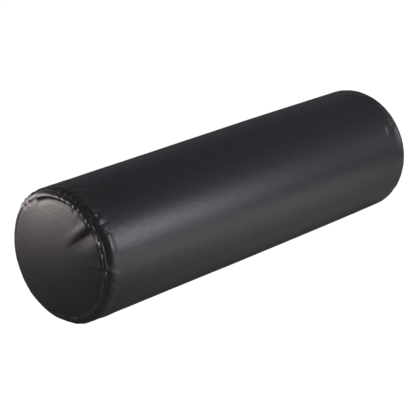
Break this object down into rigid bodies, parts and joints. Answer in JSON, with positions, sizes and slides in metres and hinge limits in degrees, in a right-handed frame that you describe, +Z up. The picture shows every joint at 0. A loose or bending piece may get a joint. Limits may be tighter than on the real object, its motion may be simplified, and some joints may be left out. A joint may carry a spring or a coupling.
{
  "type": "bolster pillow",
  "caption": "Full-round bolster pillow for a massage table: a foam cylinder in a sewn coated-fabric cover with inseamed round ends and a zip closure.",
  "frame": {"origin": "middle of the narrow flat on which the bolster rests", "axes": "+X along the bolster towards the end where the zip is shut, +Y to the zip side, +Z up"},
  "size_m": [0.702, 0.2052, 0.2016],
  "materials": {
    "cover": "satin black coated fabric with a fine grain",
    "foam": "open-cell foam",
    "fibre": "soft polyester fibre",
    "zip_tape": "woven tape",
    "zip_teeth": "moulded coil",
    "zip_metal": "black lacquered die casting",
    "thread": "bonded sewing thread"
  },
  "bodies": {
    "bolster": {"body_panel": "cover", "left_end_panel": "cover", "right_end_panel": "cover", "foam_core": "foam", "fibre_wrap": "fibre", "left_fibre_pad": "fibre", "right_fibre_pad": "fibre", "upper_zip_tape": "zip_tape", "lower_zip_tape": "zip_tape", "upper_zip_teeth": "zip_teeth", "lower_zip_teeth": "zip_teeth", "zip_top_stops": "zip_metal", "zip_bottom_stop": "zip_metal", "zip_seam_thread": "thread", "tube_join_thread": "thread", "left_seam_thread": "thread", "right_seam_thread": "thread"},
    "slider": {"zip_slider": "zip_metal"},
    "pull_tab": {"zip_pull_tab": "zip_metal"}
  },
  "joints": [
    {"name": "zip_travel", "type": "slide", "parent": "bolster", "child": "slider", "axis": [-1, 0, 0], "range_m": [0, 0.5374]},
    {"name": "pull_tab_swing", "type": "hinge", "parent": "slider", "child": "pull_tab", "pos_m": [0.2687, 0.10139, 0.12155], "axis": [0, 0.2079, -0.9781], "range_deg": [0, 180]}
  ]
}
